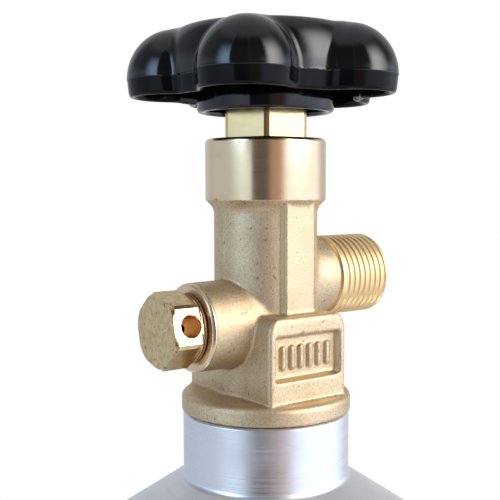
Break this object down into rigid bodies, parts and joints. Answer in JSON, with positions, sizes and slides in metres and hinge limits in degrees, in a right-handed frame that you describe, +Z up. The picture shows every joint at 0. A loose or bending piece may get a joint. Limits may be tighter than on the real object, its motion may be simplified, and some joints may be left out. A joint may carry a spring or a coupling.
{
  "type": "gas cylinder with shut-off valve",
  "caption": "Aluminium gas cylinder with a forged brass shut-off valve, a lobed black handwheel, a threaded side outlet and a hexagonal burst-disc safety plug.",
  "frame": {"origin": "centre of the base, on the plane it stands on", "axes": "+Z up the cylinder and valve axis, +X out of the threaded outlet, -X out of the safety plug, -Y the side with the flat strip and the recessed panel nearest the viewer"},
  "size_m": [0.1334, 0.1334, 0.4533],
  "materials": {
    "aluminium": "turned and brushed, fine rings round the neck and shoulder",
    "forged_brass": "forged and shot blasted, pale gold",
    "turned_brass": "turned, satin to bright",
    "black_plastic": "glossy black moulding",
    "black_rubber": "matt black",
    "nylon": "natural white",
    "copper": null,
    "steel": "plated"
  },
  "bodies": {
    "cylinder": {"cylinder_shell": "aluminium", "neck_o_ring": "black_rubber", "valve_body": "forged_brass", "bonnet_gasket": "black_rubber", "bonnet_nut": "turned_brass", "thrust_washer": "nylon", "safety_plug": "turned_brass", "safety_washer": "copper", "burst_disc": "copper", "disc_gasket": "nylon"},
    "wheel": {"handwheel": "black_plastic", "wheel_insert": "turned_brass", "wheel_washer": "steel", "wheel_nut": "steel", "wheel_cap": "black_plastic", "upper_spindle": "turned_brass", "spindle_o_ring": "black_rubber", "spindle_backup_ring": "nylon"},
    "seat": {"seat_disc": "nylon"},
    "carrier": {"lower_plug": "turned_brass"}
  },
  "joints": [
    {"name": "handwheel_turn", "type": "hinge", "parent": "cylinder", "child": "wheel", "pos_m": [0, 0, 0.446], "axis": [0, 0, 1], "range_deg": [0, 810]},
    {"name": "seat_travel", "type": "slide", "parent": "cylinder", "child": "seat", "axis": [0, 0, 1], "range_m": [0, 0.00282]},
    {"name": "carrier_turn", "type": "hinge", "parent": "seat", "child": "carrier", "pos_m": [0, 0, 0.398], "axis": [0, 0, 1], "range_deg": [0, 810]}
  ],
  "couplings": [
    {"joint": "seat_travel", "follows": "handwheel_turn", "m_per_rad": 0.00019894},
    {"joint": "carrier_turn", "follows": "handwheel_turn", "ratio": 1}
  ]
}
